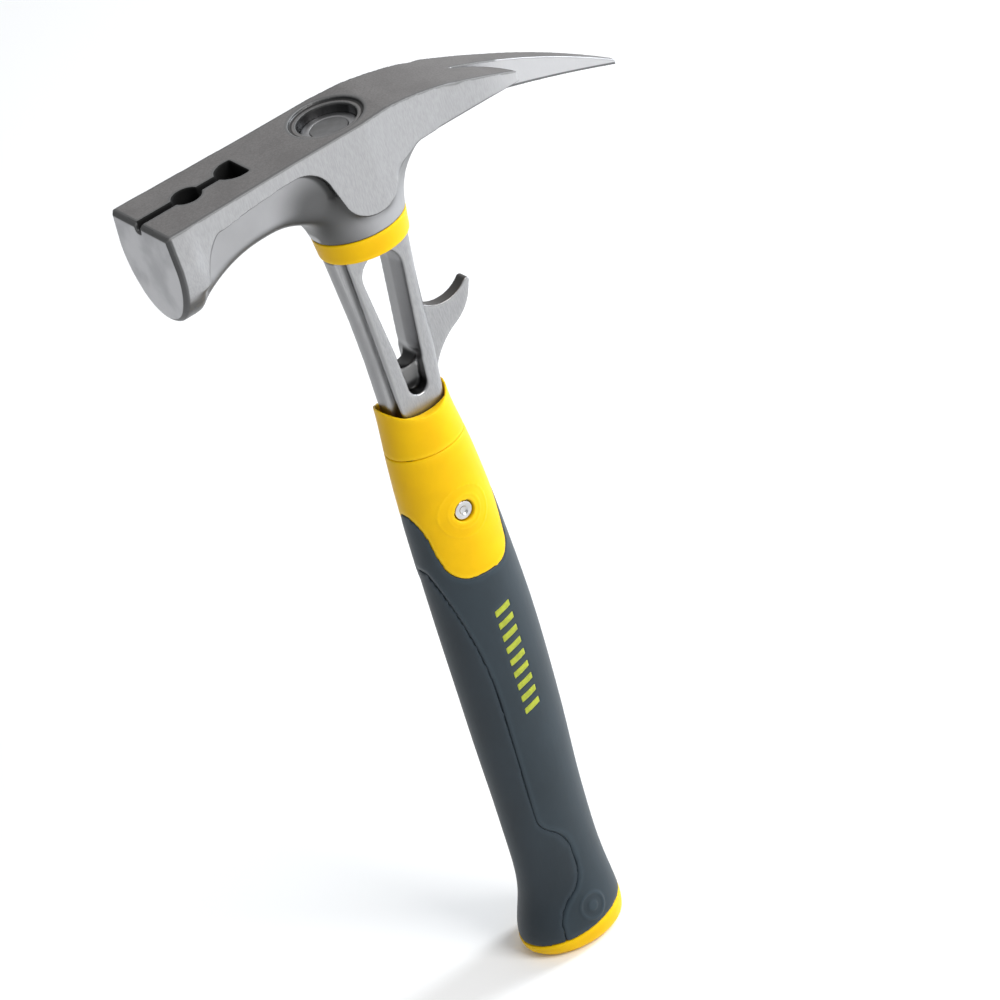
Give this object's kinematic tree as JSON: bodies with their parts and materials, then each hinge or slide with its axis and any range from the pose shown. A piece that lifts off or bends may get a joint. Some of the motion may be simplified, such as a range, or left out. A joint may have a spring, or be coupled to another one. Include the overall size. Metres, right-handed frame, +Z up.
{
  "type": "roofing hammer",
  "caption": "Roofer's claw hammer: U-shaped face, nail holder, split spike claw, windowed shaft with side hook and a sleeved soft-grip handle on an elastic pivot.",
  "frame": {"origin": "centre of the flat foot of the butt, on the handle's long axis", "axes": "+Z up the handle to the head; the striking face looks along -X and the spike points along +X; +Y completes the right-handed frame"},
  "size_m": [0.1792, 0.036, 0.325],
  "materials": {
    "forged_steel": "forged and fine-ground, satin",
    "bright_steel": "turned, bright",
    "magnet": "nickel plated, dark",
    "yellow_nylon": "moulded, satin gloss",
    "grip_elastomer": "soft-touch, fine matt grain",
    "panel_elastomer": "soft-touch, fine matt grain",
    "mark_green": "inlaid, satin",
    "black_elastomer": "moulded, matt",
    "white_nylon": "turned, matt"
  },
  "bodies": {
    "handle": {"handle_core": "yellow_nylon", "sleeve_collar": "yellow_nylon", "mouth_seal": "black_elastomer", "pivot_pin": "bright_steel", "thrust_washer_left": "white_nylon", "thrust_washer_right": "white_nylon", "damper_front": "black_elastomer", "damper_rear": "black_elastomer", "tail_damper": "black_elastomer", "grip": "grip_elastomer", "grip_front_panel": "panel_elastomer", "marks_left": "mark_green", "marks_right": "mark_green", "end_cap": "yellow_nylon"},
    "hammer": {"head": "forged_steel", "nail_magnet": "magnet", "eye_plug": "bright_steel", "shaft": "forged_steel", "collar": "yellow_nylon", "pivot_bush": "black_elastomer", "bush_sleeve": "bright_steel"}
  },
  "joints": [
    {"name": "pivot_swing", "type": "hinge", "parent": "handle", "child": "hammer", "pos_m": [-0.001, 0, 0.179], "axis": [0, 1, 0], "range_deg": [-0.5, 0.5], "stiffness_Nm_per_rad": 250, "deforming": ["damper_front", "damper_rear", "tail_damper", "mouth_seal"]}
  ]
}
